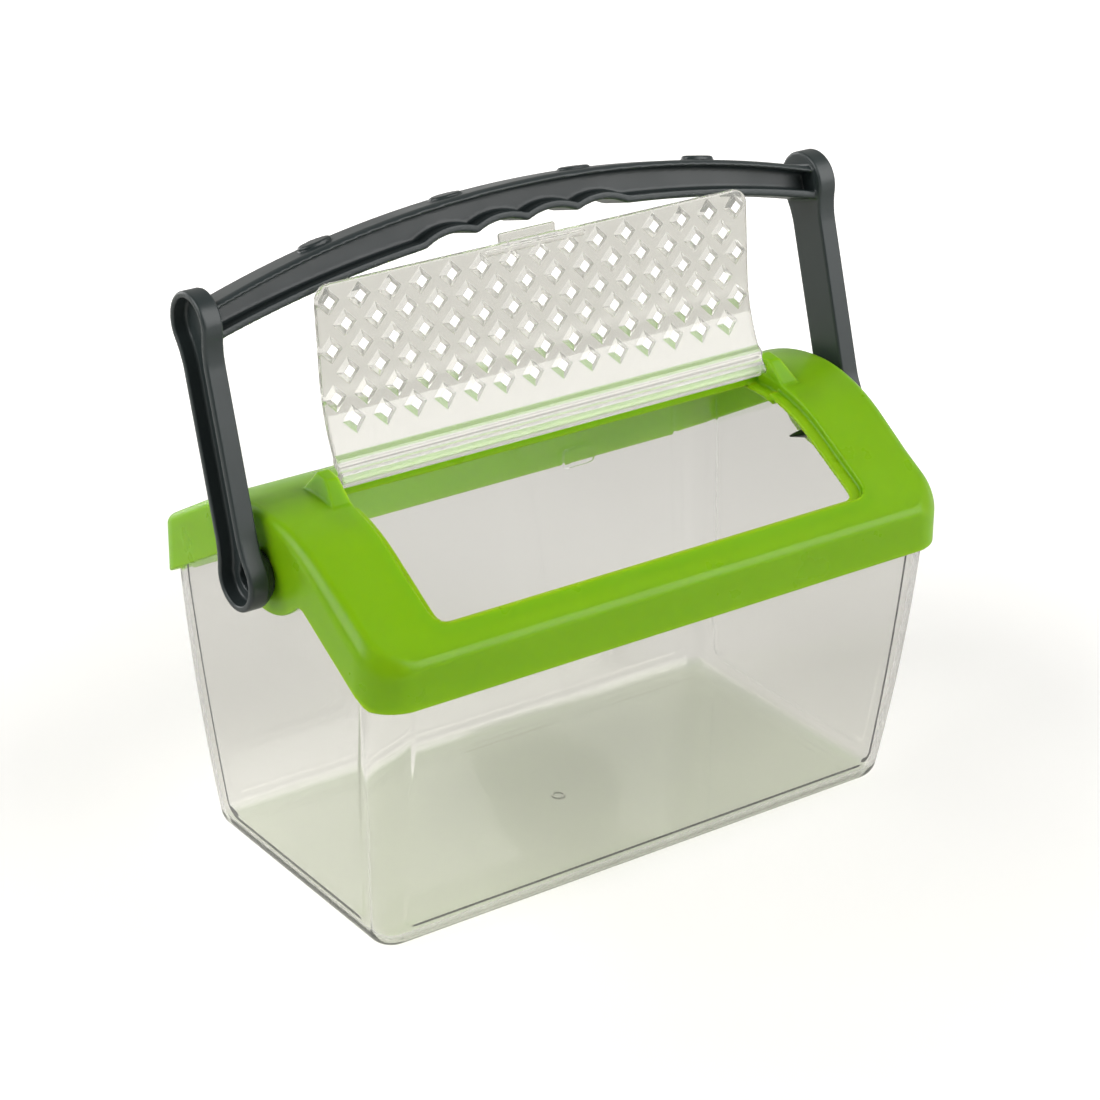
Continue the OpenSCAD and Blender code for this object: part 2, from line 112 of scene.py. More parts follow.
def moulded_plastic(name, dark, light, rough_low, rough_high, gloss_level, glow=0.0):
    """Moulded plastic: slight colour drift, uneven gloss, a fine skin and some inner glow."""
    material, nodes, links, shader = new_material(name)
    drift = noise(nodes, links, COLOUR_DRIFT, 3.0)
    links.new(ramp(nodes, links, drift, dark, light), shader.inputs["Base Color"])
    gloss = noise(nodes, links, GLOSS_DRIFT, 4.0)
    links.new(ramp(nodes, links, gloss, grey(rough_low), grey(rough_high)),
              shader.inputs["Roughness"])
    grain = noise(nodes, links, SKIN_GRAIN, 2.0)
    bump(nodes, links, shader, grain, *SKIN_BUMP)
    shader.inputs["IOR"].default_value = PLASTIC_IOR
    shader.inputs["Specular IOR Level"].default_value = gloss_level
    shader.inputs["Subsurface Weight"].default_value = glow
    shader.inputs["Subsurface Radius"].default_value = GLOW_SPREAD
    shader.inputs["Subsurface Scale"].default_value = GLOW_MM * MM
    return material


def tint_foot_with_painted_cast(nodes, links, wall, foot_tint_and_painted_cast):
    """The wall's colour, with a deeper tint at the height of the floor and a painted green
    cast there that stands in for light through the green lid.
    """
    place = nodes.new("ShaderNodeTexCoord")
    height = nodes.new("ShaderNodeSeparateXYZ")
    links.new(place.outputs["Object"], height.inputs["Vector"])
    deep = nodes.new("ShaderNodeMapRange")
    deep.interpolation_type = "SMOOTHSTEP"
    deep.inputs["From Min"].default_value = CAST_LOW_MM * MM
    deep.inputs["From Max"].default_value = CAST_HIGH_MM * MM
    links.new(height.outputs["Z"], deep.inputs["Value"])
    # towards the floor the colour turns to the foot's tint, which holds the painted green cast
    tone = nodes.new("ShaderNodeMix")
    tone.data_type = "RGBA"
    tone.inputs["A"].default_value = foot_tint_and_painted_cast + (1.0,)
    links.new(deep.outputs["Result"], tone.inputs["Factor"])
    links.new(wall, tone.inputs["B"])
    return tone.outputs["Result"]


def clear_plastic(name, tint, foot_tint_and_painted_cast, clear):
    """Clear moulded plastic with a faint tint, deeper at the foot, where a green cast is
    painted in as a stand-in for light through the green lid, and a slight waviness.

    Lamps reach what is behind it, as they do through the real thin walls.
    """
    material, nodes, links, shader = new_material(name)
    drift = noise(nodes, links, CLEAR_DRIFT, 2.0)
    low = tuple(c * DARKEST_DRIFT for c in tint) + (1.0,)
    wall = ramp(nodes, links, drift, low, tint + (1.0,))
    links.new(tint_foot_with_painted_cast(nodes, links, wall, foot_tint_and_painted_cast), shader.inputs["Base Color"])
    haze = noise(nodes, links, CLEAR_HAZE, 3.0)
    links.new(ramp(nodes, links, haze, grey(CLEAR_ROUGH_LOW), grey(CLEAR_ROUGH_HIGH)),
              shader.inputs["Roughness"])
    wave = noise(nodes, links, CLEAR_WAVE, 1.0)
    bump(nodes, links, shader, wave, *WAVE_BUMP)
    shader.inputs["Transmission Weight"].default_value = clear
    shader.inputs["IOR"].default_value = CLEAR_IOR
    through = nodes.new("ShaderNodeBsdfTransparent")
    through.inputs["Color"].default_value = SHADOW_TINT
    path = nodes.new("ShaderNodeLightPath")
    mix = nodes.new("ShaderNodeMixShader")
    links.new(path.outputs["Is Shadow Ray"], mix.inputs["Fac"])
    links.new(shader.outputs["BSDF"], mix.inputs[1])
    links.new(through.outputs["BSDF"], mix.inputs[2])
    links.new(mix.outputs["Shader"], nodes["Material Output"].inputs["Surface"])
    return material


def backdrop_paper():
    """Matt pale paper that glows far off, as a lit sweep does.

    It is lifted to white where it is seen directly, as in a cut-out photograph.
    """
    material, nodes, links, shader = new_material("backdrop_paper")
    tooth = noise(nodes, links, PAPER_TOOTH, 2.0)
    links.new(ramp(nodes, links, tooth, PAPER_DARK, PAPER_LIGHT), shader.inputs["Base Color"])
    shader.inputs["Roughness"].default_value = PAPER_ROUGH
    shader.inputs["Specular IOR Level"].default_value = PAPER_GLOSS
    place = nodes.new("ShaderNodeTexCoord")
    away = nodes.new("ShaderNodeVectorMath")
    away.operation = "LENGTH"
    links.new(place.outputs["Object"], away.inputs[0])

    def glow(near, far, from_near, to_far):
        grows = nodes.new("ShaderNodeMapRange")
        grows.interpolation_type = "SMOOTHSTEP"
        grows.inputs["From Min"].default_value = near
        grows.inputs["From Max"].default_value = far
        grows.inputs["To Min"].default_value = from_near
        grows.inputs["To Max"].default_value = to_far
        links.new(away.outputs["Value"], grows.inputs["Value"])
        emission = nodes.new("ShaderNodeEmission")
        links.new(grows.outputs["Result"], emission.inputs["Strength"])
        lit = nodes.new("ShaderNodeAddShader")
        links.new(shader.outputs["BSDF"], lit.inputs[0])
        links.new(emission.outputs["Emission"], lit.inputs[1])
        return lit.outputs["Shader"]

    path = nodes.new("ShaderNodeLightPath")
    mix = nodes.new("ShaderNodeMixShader")
    links.new(path.outputs["Is Camera Ray"], mix.inputs["Fac"])
    links.new(glow(*ROOM_GLOW), mix.inputs[1])
    links.new(glow(*SEEN_GLOW), mix.inputs[2])
    links.new(mix.outputs["Shader"], nodes["Material Output"].inputs["Surface"])
    return material


green = moulded_plastic("lime_green_plastic", (0.175, 0.382, 0.002, 1),
                        (0.191, 0.410, 0.004, 1), 0.26, 0.36, 0.26, 0.8)
grey_plastic = moulded_plastic("dark_grey_plastic", (0.021, 0.029, 0.030, 1),
                               (0.028, 0.037, 0.037, 1), 0.32, 0.42, 0.5)
# the tub's foot colour: a deeper tint of the thicker floor and a painted green cast, a
# stand-in for light through the green lid
clear_tub = clear_plastic("clear_tub_plastic", (0.99, 0.985, 0.97), (0.805, 0.84, 0.745), 0.97)
FLAP_TINT = (0.88, 0.87, 0.825)
clear_flap = clear_plastic("clear_flap_plastic", FLAP_TINT, FLAP_TINT, 0.84)


# -------------------------------------------------------- skins from a field
# A field gives, for points in millimetres, a distance: below 0 inside the
# plastic, above 0 outside. A skin is the mesh over the field's zero level.

def round_max(a, b, r):
    """What two fields share, its edge rounded to radius r."""
    corner = np.hypot(np.maximum(a + r, 0.0), np.maximum(b + r, 0.0))
    return np.minimum(np.maximum(a, b), -r) + corner


def round_min(a, b, r):
    """Two fields joined, with a fillet of radius r between them."""
    return -round_max(-a, -b, r)


SLOPE_STEP = 0.02
SETTLE_ROUNDS, LEAST_SLOPE = 4, 0.05


def gradient(field, points):
    """The field's slope at each point."""
    step = SLOPE_STEP
    sides = []
    for axis in range(3):
        shift = np.zeros(3)
        shift[axis] = step
        ahead = field(*(points + shift).T)
        behind = field(*(points - shift).T)
        sides.append((ahead - behind) / (2.0 * step))
    return np.stack(sides, 1)


def cell_points(value, cells):
    """The mean of the places where a cell's edges cross the zero level."""
    total = np.zeros((len(cells), 3))
    count = np.zeros(len(cells))
    for start in np.ndindex(2, 2, 2):
        for axis in range(3):
            if start[axis]:
                continue
            end = tuple(c + (i == axis) for i, c in enumerate(start))
            a = value[tuple((cells + start).T)]
            b = value[tuple((cells + end).T)]
            crossed = (a < 0) != (b < 0)
            share = np.where(crossed, a / np.where(crossed, a - b, 1.0), 0.0)
            place = np.repeat(np.array([start], float), len(cells), 0)
            place[:, axis] += share
            total += place * crossed[:, None]
            count += crossed
    return cells + total / count[:, None]


def grid_faces(inside, index):
    """A face round each grid edge that crosses the surface, through its four cells' points."""
    faces = []
    for axis in range(3):
        side, rise = (axis + 1) % 3, (axis + 2) % 3
        edge = inside != np.roll(inside, -1, axis)
        edge[tuple(slice(-1, None) if i == axis else slice(None) for i in range(3))] = False
        at = np.argwhere(edge)
        ring = []
        for back_side, back_rise in ((1, 1), (0, 1), (0, 0), (1, 0)):
            near = at.copy()
            near[:, side] -= back_side
            near[:, rise] -= back_rise
            ring.append(index[tuple(near.T)])
        ring = np.stack(ring, 1)
        outward = inside[tuple(at.T)]
        ring[~outward] = ring[~outward][:, ::-1]
        faces.append(ring)
    return np.concatenate(faces).tolist()


def skin(name, field, low, high, cell, place=None):
    """A mesh of near-square faces over the zero level of a field between two corners."""
    cell = np.broadcast_to(np.array(cell, float), 3)
    axes = [np.arange(lo, hi + step, step) for lo, hi, step in zip(low, high, cell)]
    grid = np.meshgrid(*axes, indexing="ij", sparse=True)
    value = np.broadcast_to(field(*grid), [len(a) for a in axes])
    inside = value < 0
    full = np.zeros([n - 1 for n in inside.shape], np.int8)
    for start in np.ndindex(2, 2, 2):
        full += inside[tuple(slice(c, c + n) for c, n in zip(start, full.shape))]
    cells = np.argwhere((full > 0) & (full < 8))
    index = np.full(full.shape, -1)
    index[tuple(cells.T)] = np.arange(len(cells))
    points = np.array(low, float) + cell * cell_points(value, cells)
    points = settle(field, points, 0.5 * cell.min())
    return field_piece(name, field, points, grid_faces(inside, index), place)


def settle(field, points, most):
    """Moves points onto the field's zero level, by no more than `most` a step."""
    for _ in range(SETTLE_ROUNDS):
        slope = gradient(field, points)
        length = np.maximum((slope ** 2).sum(1), LEAST_SLOPE)
        move = slope * (field(*points.T) / length)[:, None]
        points = points - np.clip(move, -most, most)
    return points


def field_piece(name, field, points, faces, place=None):
    """A mesh whose shading normals are the field's own, moved to its place at the end."""
    normals = gradient(field, points)
    normals /= np.maximum(np.linalg.norm(normals, axis=1), 1e-9)[:, None]
    if place is not None:
        points, normals = place(points, normals)
    return mesh_piece(name, points * MM, faces, normals)


def mesh_piece(name, points, faces, normals):
    """A mesh object with its own shading normals."""
    mesh = bpy.data.meshes.new(name)
    mesh.from_pydata(points.tolist(), [], faces)
    mesh.shade_smooth()
    mesh.normals_split_custom_set_from_vertices(normals.tolist())
    piece = bpy.data.objects.new(name, mesh)
    bpy.context.scene.collection.objects.link(piece)
    return piece


def finish_piece(piece, material, body, slot, *nodes):
    """Gives a piece its finish and its body, and hides the CAD nodes that it stands for."""
    piece.data.materials.append(material)
    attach(piece, body)
    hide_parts(*nodes)


# ---------------------------------------------------------------------- lid
# Sizes are in millimetres. The main ones are the solids' own; edges are finer.

LID_X, LID_Y, LID_WALL = 105.0, 63.0, 2.0
CROWN_R, CROWN_CZ, ROOF = 60.0, 67.8, math.radians(30.0)
FRONT_LOW, BACK_LOW = 86.4, 82.3
LID_CORNER_R = 12.7
BAND_DEPTH = 16.1
TONGUE_R, TONGUE_CZ = 24.6, 121.5
RECESS_X, RECESS_FRONT, RECESS_BACK, RECESS_R = 79.1, 53.5, 1.8, 5.0
LEDGE_W, LEDGE_SHIFT, FRONT_LEDGE, LEDGE_DEPTH = 3.4, 0.7, 2.5, 2.3
POCKET_DEPTH, POCKET_Y = 3.6, -8.6
PIVOT_Y, PIVOT_Z, PIVOT_R = -2.2, 108.9, 6.5
HINGE_Y, HINGE_Z, PIN_R = -0.2, 129.4, 1.5
RUN_GAP = 0.08
# the rim under the opening's edge: how far it reaches outwards, and to the rear as a
# share of that, its corners, its depths, and how far the deepest part comes forward
RIM_REACH, REAR_SHARE, OPENING_RIM_R = 2.0, 1.2, 6.5
REAR_RIM, HINGE_RIM, FRONT_RIM, HINGE_RIM_MORE = 4.2, 5.2, 3.8, 2.0
BORE_DEPTH = 6.0
# top edge: its radius along the front and back, at an end's crest, and lower down
SIDE_ROLL, CREST_ROLL, MORE_ROLL = 1.6, 2.4, 3.4
ROLL_START, ROLL_RUN, ROLL_FALL, ROLL_POWER = 14.0, 10.0, 42.0, 1.3
# a hinge ear's sides, each through two points (z, y), or (x, z) for the outer one
EAR_FRONT, EAR_TOP = (125.6, -12.0, 132.9, -3.2), (132.9, -3.2, 133.5, 1.2)
EAR_BACK, EAR_OUTER = (133.2, 2.4, 126.3, 7.0), (86.0, 126.8, 83.4, 134.3)
EAR_ROOT_Z, EAR_BORE_END = 120.0, 83.0


def arch(y, z):
    """Distance to the outer face of the roof: a round crown and two slopes."""
    across, above = np.abs(y), z - CROWN_CZ
    slope = math.sin(ROOF) * across + math.cos(ROOF) * above - CROWN_R
    crown = np.hypot(across, above) - CROWN_R
    return np.where(across * math.cos(ROOF) > above * math.sin(ROOF), slope, crown)


def plan(x, y, half_x, half_y, r):
    """Distance to an upright box with rounded corners, in plan."""
    qx = np.abs(x) - half_x + r
    qy = np.abs(y) - half_y + r
    outside = np.hypot(np.maximum(qx, 0.0), np.maximum(qy, 0.0))
    return outside + np.minimum(np.maximum(qx, qy), 0.0) - r


def opening_plan(x, y, margin, r):
    """Plan of the opening, `margin` larger, its front corners rounded."""
    far_y = 20.0  # rounded rear corners end up behind the straight rear edge
    front = -RECESS_FRONT - max(margin, -FRONT_LEDGE)
    back = RECESS_BACK + far_y
    box = plan(x, y - (front + back) / 2, RECESS_X + margin, (back - front) / 2, r)
    return np.maximum(box, y - RECESS_BACK - max(margin, 0.0) * REAR_SHARE)


def ear_field(x, y, z):
    """Hinge ear, sloping outwards and to the front."""
    x = np.abs(x)

    def plane(u, v, u0, v0, u1, v1):
        length = math.hypot(u1 - u0, v1 - v0)
        return ((u - u0) * (v1 - v0) - (v - v0) * (u1 - u0)) / length

    front = plane(z, y, *EAR_FRONT)
    top = plane(z, y, *EAR_TOP)
    back = plane(z, y, *EAR_BACK)
    outer = plane(x, z, *EAR_OUTER)
    ear = round_max(round_max(front, back, 0.4), top, 0.4)
    ear = round_max(ear, round_max(outer, RECESS_X - x, 0.3), 0.4)
    bore = np.maximum(np.hypot(y - HINGE_Y, z - HINGE_Z) - PIN_R - RUN_GAP, x - EAR_BORE_END)
    return round_max(np.maximum(ear, EAR_ROOT_Z - z), -bore, 0.15)


def edge_roll(x, y):
    """Radius of the lid's top edge: it grows along the ends, from the crest to the front."""
    near_end = np.clip((np.abs(x) - LID_X + ROLL_START) / ROLL_RUN, 0.0, 1.0)
    end_roll = CREST_ROLL + MORE_ROLL * np.clip(-y / ROLL_FALL, 0.0, 1.0) ** ROLL_POWER
    return SIDE_ROLL + near_end * (end_roll - SIDE_ROLL)


def lid_field(x, y, z):
    """The lid frame: a skirted arch with its opening, ledge, ears and pivot bores."""
    roof = arch(y, z)
    roll = edge_roll(x, y)
    wall = plan(x, y, LID_X, LID_Y, LID_CORNER_R)
    outer = round_max(roof, wall, roll)
    inner = round_max(roof + LID_WALL, wall + LID_WALL, np.maximum(roll - LID_WALL, 1.0))
    shell = round_max(outer, -inner, 0.4)
    low = np.where(y < 0, FRONT_LOW, BACK_LOW)
    shell = round_max(shell, low - z, 0.6)
    tongue = np.hypot(y - PIVOT_Y, z - TONGUE_CZ) - TONGUE_R
    kept = round_min(-(roof + BAND_DEPTH), tongue, 3.0)
    in_band = np.abs(x) > LID_X - LID_CORNER_R
    shell = np.where(in_band, round_max(shell, kept, 0.6), shell)
    depth = np.where(y > POCKET_Y - HINGE_RIM_MORE, HINGE_RIM, FRONT_RIM)
    depth = np.where(y > RECESS_BACK, REAR_RIM, depth)
    rim = np.maximum(opening_plan(x, y, RIM_REACH, OPENING_RIM_R), roof + 1.0)
    rim = np.maximum(rim, -(roof + depth))
    body = round_min(shell, rim, 0.5)
    body = round_min(body, ear_field(x, y, z), 0.5)
    level = np.where(y > POCKET_Y, POCKET_DEPTH, LEDGE_DEPTH)
    recess = round_max(opening_plan(x, y, 0.0, RECESS_R), -(roof + level), 0.9)
    body = round_max(body, -recess, 0.8)
    body = round_max(body, -opening_plan(x + LEDGE_SHIFT, y, -LEDGE_W, 3.0), 0.6)
    bore = np.hypot(y - PIVOT_Y, z - PIVOT_Z) - PIVOT_R - RUN_GAP
    bore = np.maximum(bore, LID_X - BORE_DEPTH - np.abs(x))
    return round_max(body, -bore, 0.3)


# ------------------------------------------------------------------- handle

LEAN = math.radians(16.9)
ARM_IN, ARM_OUT, ARM_RIM = 108.0, 114.5, 2.0
ARM_REACH, ARM_LOW_R, ARM_TOP_R, WAIST, HOLLOW_R = 74.0, 9.65, 9.9, 7.15, 25.0
GRIP_TOP, GRIP_H, GRIP_W, FLANGE, TOP_FLANGE = 94.4, 12.2, 14.4, 2.4, 1.8
TOP_BOW_R, UNDER_BOW_R = 387.0, 440.0
FINGER_W, FINGER_D = 17.5, 2.0
STUD_PITCH, STUD_L, STUD_W, STUD_H, STUD_MORE = 46.5, 11.0, 7.0, 0.9, 0.5
SNAP_R, SNAP_TIP_R, SNAP_BASE, SNAP_TIP, SLOT = 8.0, 4.3, 102.7, 89.0, 8.0
# the arm's hub and neck on its inner side, and the blind hole from its outer side
HUB_R, HUB_FACE, SLOT_END = ARM_LOW_R - 0.8, 106.8, 104.0
NECK_R, NECK_FACE = PIVOT_R + 1.2, LID_X + 0.3
HOLE_R, HOLE_FLOOR = 4.6, 105.5
# the long edges of the grip: on top and below
TOP_EDGE_R, LOW_EDGE_R = 2.2, 1.0


def turn_x(vectors, angle):
    """Turns vectors about the X axis; the angle may be one for each of them."""
    x, y, z = vectors.T
    return np.stack((x, y * np.cos(angle) - z * np.sin(angle),
                     z * np.cos(angle) + y * np.sin(angle)), 1)


def arm_outline(across, along):
    """Two rings joined by a waist, with concave fillets of one radius."""
    across = np.abs(across)
    low_half = along < ARM_REACH / 2
    along = np.where(low_half, along, ARM_REACH - along)
    ring_r = np.where(low_half, ARM_LOW_R, ARM_TOP_R)
    centre = WAIST + HOLLOW_R
    rise = np.sqrt((ring_r + HOLLOW_R) ** 2 - centre ** 2)
    ring = np.hypot(across, along) - ring_r
    fillet = HOLLOW_R - np.hypot(across - centre, along - rise)
    in_fillet = along * centre > across * rise
    return np.where(along >= rise, across - WAIST, np.where(in_fillet, fillet, ring))


def arm_field(x, b, a):
    """Both arms, upright about the pivot axis, with their snap pivots."""
    x = np.abs(x)
    outline = arm_outline(b, a)
    middle, half = (ARM_IN + ARM_OUT) / 2, (ARM_OUT - ARM_IN) / 2
    arm = round_max(outline, np.abs(x - middle) - half, 0.8)
    pocket = round_max(outline + ARM_RIM, ARM_IN + ARM_RIM - x, 0.8)
    arm = round_max(arm, -pocket, 0.6)
    axis = np.hypot(b, a)
    hub = round_max(axis - HUB_R, HUB_FACE - x, 0.4)
    neck = np.maximum(axis - NECK_R, NECK_FACE - x)
    pivot = np.maximum(axis - PIVOT_R, SNAP_BASE - x)
    share = (x - SNAP_TIP) / (SNAP_BASE - SNAP_TIP)
    cone = axis - SNAP_TIP_R - (SNAP_R - SNAP_TIP_R) * share
    snap = round_max(round_max(cone, x - SNAP_BASE, 0.3), SNAP_TIP - x, 0.5)
    stem = np.minimum(np.minimum(hub, neck), pivot)
    stem = np.minimum(np.maximum(stem, x - ARM_IN - 1.0), snap)
    slot = np.maximum(np.abs(a) - SLOT / 2, x - SLOT_END)
    stem = round_max(stem, -slot, 0.3)
    arm = round_min(arm, stem, 0.4)
    hole = np.maximum(axis - HOLE_R, HOLE_FLOOR - x)
    return round_max(arm, -hole, 0.4)


def grip_field(x, b, a):
    """The bowed grip: an I section with finger hollows below and studs on top."""
    top = np.hypot(x, a - GRIP_TOP + TOP_BOW_R) - TOP_BOW_R
    low = GRIP_TOP - GRIP_H
    under = UNDER_BOW_R - np.hypot(x, a - low + UNDER_BOW_R)
    finger_r = (FINGER_W ** 2 / 4 + FINGER_D ** 2) / (2 * FINGER_D)
    fingers = 1000.0
    for step in (-1.5, -0.5, 0.5, 1.5):
        place = step * FINGER_W
        centre = low - place ** 2 / (2 * UNDER_BOW_R) + FINGER_D - finger_r
        fingers = np.minimum(fingers, np.hypot(x - place, a - centre) - finger_r)
    outline = round_max(round_max(top, under, 0.3), -fingers, 0.5)
    edge_r = np.where(top > under, TOP_EDGE_R, LOW_EDGE_R)
    grip = round_max(outline, np.abs(b) - GRIP_W / 2, edge_r)
    inside = round_max(round_max(top + TOP_FLANGE, under + FLANGE, 2.0), FLANGE - fingers, 0.5)
    pocket = round_max(inside, FLANGE / 2 - np.abs(b), 1.4)
    pocket = np.maximum(pocket, np.abs(x) - ARM_IN)
    grip = round_max(grip, -pocket, 0.6)
    for step in (-1.5, -0.5, 0.5, 1.5):
        turn = np.arctan2(x, a - GRIP_TOP + TOP_BOW_R) * TOP_BOW_R - step * STUD_PITCH
        oval = (np.hypot(2 * turn / STUD_L, 2 * b / STUD_W) - 1.0) * STUD_W / 2
        height = STUD_H + STUD_MORE * (abs(step) > 1.0)
        stud = np.maximum(round_max(oval, top - height, 0.7), -top - 1.2)
        grip = round_min(grip, stud, 0.3)
    return np.maximum(grip, np.abs(x) - ARM_IN - 0.5)


def handle_field(x, b, a):
    """The whole handle, upright: across, towards the back and up from its pivot axis."""
    return round_min(grip_field(x, b, a), arm_field(x, b, a), 0.8)


def lean_back(points, normals):
    """From the handle's own upright frame to where it leans in the row's frame."""
    turned = [turn_x(v, -LEAN) for v in (points, normals)]
    return turned[0] + (0.0, PIVOT_Y, PIVOT_Z), turned[1]


# ---------------------------------------------------------------------- tub

RIM_X, RIM_Y, RIM_R = 102.2, 60.2, 11.1
FOOT_X, FOOT_Y, FOOT_R = 95.3, 48.6, 7.6
TUB_WALL, TUB_FLOOR, FOOT_ROLL, INNER_ROLL, BOW = 2.0, 2.4, 5.5, 4.2, 0.4
FIELD_X, FIELD_Y, FIELD_LOW, FIELD_R, FIELD_DEPTH = 88.5, 38.8, 7.6, 4.5, 0.35
NOTCH_R = 9.0
LUG_X, LUG_L, LUG_T, LUG_H, LUG_Z = 50.8, 12.4, 0.6, 6.4, 85.4
GROW_X, GROW_Y = 0.35 * (RIM_X - FOOT_X) / FRONT_LOW, 0.85 * (RIM_Y - FOOT_Y) / FRONT_LOW
PANEL_INSET, PANEL_DEPTH = 9.0, 0.06
TOP_GAP = 0.1
GATE_Y, GATE_R, GATE_THICK = -2.0, 1.9, 0.3
# how wide the soft steps at fields and lugs are, and how deep a notch cuts inwards
STEP_W, LUG_STEP_W, NOTCH_DEPTH = 1.4, 1.2, 8.0
# up to here the mesh's rings are level; above, they close up to the rim
EVEN_TOP = 95.0


def step_in(distance, width=STEP_W):
    """1 inside an outline, 0 outside it, with a soft step between."""
    share = np.clip(0.5 - distance / width, 0.0, 1.0)
    return share * share * (3.0 - 2.0 * share)


def wall_field(across, z, half, growth):
    """The sunk field of a wall: a straight-sided outline with rounded low corners."""
    return round_max(np.abs(across) - half - growth * (z - FIELD_LOW), FIELD_LOW - z, FIELD_R)


def tub_outline(z):
    """Half width, half depth and corner radius of the tub's outside at a height."""
    share = np.clip(z / FRONT_LOW, 0.0, 1.0)
    grown = share + BOW * share * (1.0 - share)
    return (FOOT_X + (RIM_X - FOOT_X) * grown, FOOT_Y + (RIM_Y - FOOT_Y) * grown,
            FOOT_R + (RIM_R - FOOT_R) * share)


def top_roll(x, y):
    """Radius of the tub's top edge, which follows the inside of the lid."""
    return np.maximum(edge_roll(x, y) - LID_WALL, 1.0) + 0.3


def tub_field(x, y, z):
    """The tub: tapered walls with sunk fields, floor, snap lugs, gate mark and notches."""
    half_x, half_y, corner = tub_outline(z)
    outer = plan(x, y, half_x, half_y, corner)
    mass = round_max(outer, PANEL_DEPTH * step_in(outer + PANEL_INSET) - z, FOOT_ROLL)
    mass = round_max(mass, arch(y, z) + LID_WALL + TOP_GAP, top_roll(x, y))
    sunk_front = FIELD_DEPTH * step_in(wall_field(x, z, FIELD_X, GROW_X))
    sunk_end = FIELD_DEPTH * step_in(wall_field(y, z, FIELD_Y, GROW_Y))
    lug = round_max(np.abs(np.abs(x) - LUG_X) - LUG_L / 2, np.abs(z - LUG_Z) - LUG_H / 2, 1.5)
    sunk_front = sunk_front - np.where(y > 0, LUG_T * step_in(lug, LUG_STEP_W), 0.0)
    inner = plan(x, y, half_x - TUB_WALL + sunk_end, half_y - TUB_WALL + sunk_front,
                 corner - TUB_WALL)
    inner = round_max(inner, TUB_FLOOR - z, INNER_ROLL)
    tub = round_max(mass, -inner, 0.3)
    gate = np.hypot(np.hypot(x, y - GATE_Y) - GATE_R, z - TUB_FLOOR) - GATE_THICK
    tub = round_min(tub, gate, 0.3)
    notch = np.where(z < PIVOT_Z, np.hypot(y - PIVOT_Y, z - PIVOT_Z), np.abs(y - PIVOT_Y))
    notch = np.maximum(notch - NOTCH_R, RIM_X - NOTCH_DEPTH - np.abs(x))
    return round_max(tub, -notch, 0.4)


def quarter_columns(notch_share):
    """Columns round a quarter of the tub, each a distance from the front's middle.

    A distance is a sum: shares of the front field's half width, of the whole
    quarter and of the end field's half width, and a length in millimetres.
    Columns crowd where a surface steps: at the fields' edges, lugs and notches.
    """
    near = np.linspace(-1.0, 1.0, 7)
    lug = [LUG_X + side * LUG_L / 2 + d for side in (-1, 1) for d in (-0.6, -0.2, 0.2, 0.6)]
    plain = [0.0, 8.0, 16.0, 24.0, 32.0, 39.0, 47.5, 51.0, 54.0, 63.0, 71.0, 79.0, 84.0]
    columns = [(0.0, 0.0, 0.0, d) for d in sorted(plain + lug)]
    columns += [(1.0, 0.0, 0.0, d) for d in near]
    for share in np.linspace(0.0, 1.0, 22)[1:-1]:
        columns.append((1.0 - share, share, -share, STEP_W - 2.0 * STEP_W * share))
    columns += [(0.0, 1.0, -1.0, d) for d in near]
    first = NOTCH_R * notch_share[0][1] + notch_share[0][0]
    for share in np.linspace(0.0, 1.0, 7)[1:-1]:
        columns.append((0.0, 1.0, share - 1.0, STEP_W * (1.0 - share) - share * first))
    columns += [(0.0, 1.0, 0.0, -shift - NOTCH_R * share) for shift, share in notch_share]
    return np.array(columns)


def quarter_place(columns, z, inset):
    """Where the columns stand at their heights, on a quarter ring `inset` from the outside."""
    half_x, half_y, corner = tub_outline(z)
    flat, bend = half_x - corner, corner * math.pi / 2
    whole = flat + bend + half_y - corner
    field_x, field_y = FIELD_X + GROW_X * (z - FIELD_LOW), FIELD_Y + GROW_Y * (z - FIELD_LOW)
    along = columns[:, 0] * field_x + columns[:, 1] * whole + columns[:, 2] * field_y
    along = along + columns[:, 3]
    turn = np.clip((along - flat) / corner, 0.0, math.pi / 2)
    reach = np.maximum(corner - inset, 0.6)
    drawn = corner - np.minimum(inset, corner - 0.6)
    out_x, out_y = half_x - inset - drawn, half_y - inset - drawn
    x = np.minimum(along, flat) * out_x / flat + reach * np.sin(turn)
    rest = np.maximum(along - flat - bend, 0.0) * out_y / (half_y - corner)
    return x, -out_y - reach * np.cos(turn) + rest


def tub_ring(front, back, z, inset):
    """One closed ring of points, anticlockwise from the middle of the front."""
    ahead, behind = len(front), len(back)
    z = np.broadcast_to(z, 2 * (ahead + behind) - 2)
    inset = np.broadcast_to(inset, z.shape)
    right, left = slice(0, ahead + behind), slice(ahead + behind, None)
    sides = []
    for part, mirror in ((right, 1.0), (left, -1.0)):
        high, deep = z[part], inset[part]
        if mirror < 0:
            high = np.concatenate((high[:1], high, high[:1]))[::-1]
            deep = np.concatenate((deep[:1], deep, deep[:1]))[::-1]
        fx, fy = quarter_place(front, high[:ahead], deep[:ahead])
        bx, by = quarter_place(back, high[ahead:][::-1], deep[ahead:][::-1])
        x, y = np.concatenate((fx, bx[::-1])), np.concatenate((fy, -by[::-1]))
        if mirror < 0:
            x, y = -x[::-1][1:-1], y[::-1][1:-1]
        sides.append(np.stack((x, y), 1))
    flat = np.concatenate(sides)
    return np.column_stack((flat, z))


